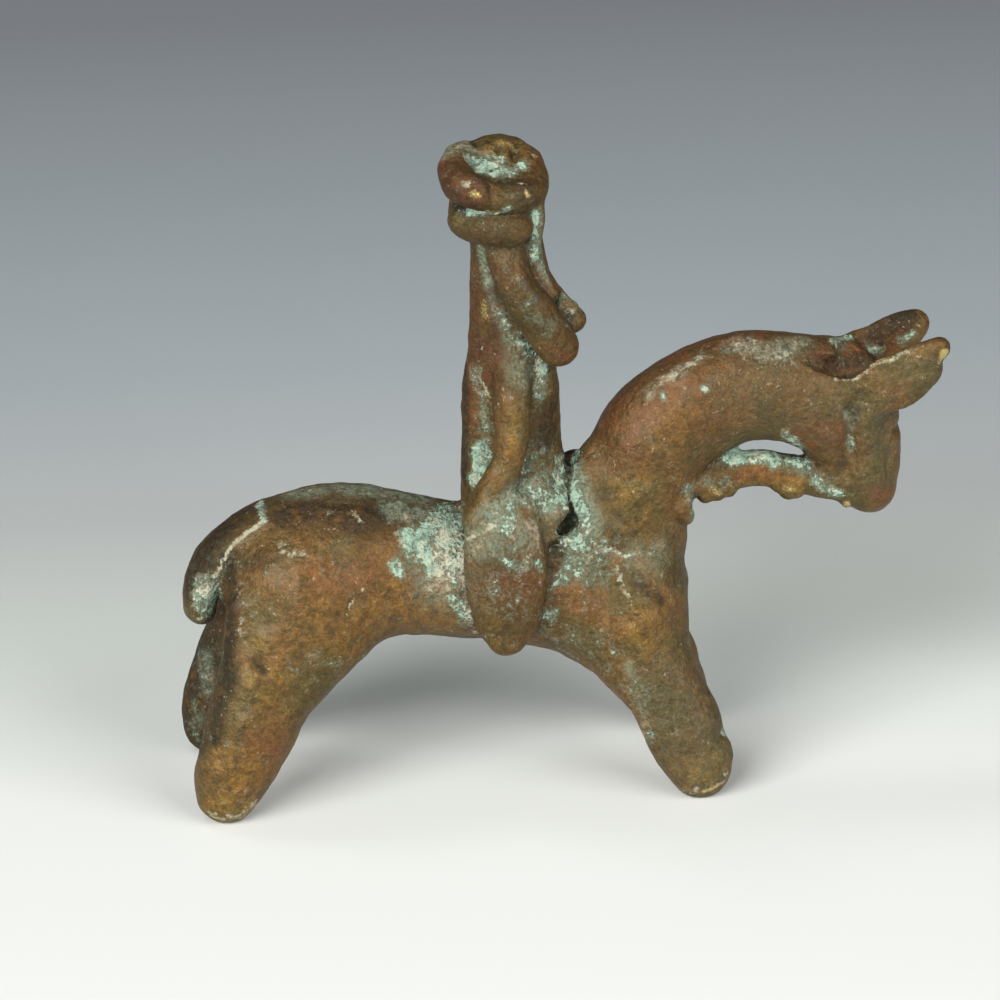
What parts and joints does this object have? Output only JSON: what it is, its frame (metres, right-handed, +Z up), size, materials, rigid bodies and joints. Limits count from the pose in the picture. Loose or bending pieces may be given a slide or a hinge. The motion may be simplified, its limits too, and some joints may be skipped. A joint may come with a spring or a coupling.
{
  "type": "equestrian statuette",
  "caption": "Small solid-cast bronze horse and rider, modelled as rolled wax, with coiled headgear, arched neck and a rein.",
  "frame": {"origin": "centre of the bounding box at the height of the feet", "axes": "+X from the tail to the horse's head, +Y to the horse's left, +Z up"},
  "size_m": [0.064, 0.0182, 0.056],
  "materials": {
    "bronze": "brown patina with green verdigris in the hollows, worn to bare metal on the ear tip and under the feet"
  },
  "bodies": {
    "root": {"horse_and_rider": "bronze"}
  },
  "joints": []
}
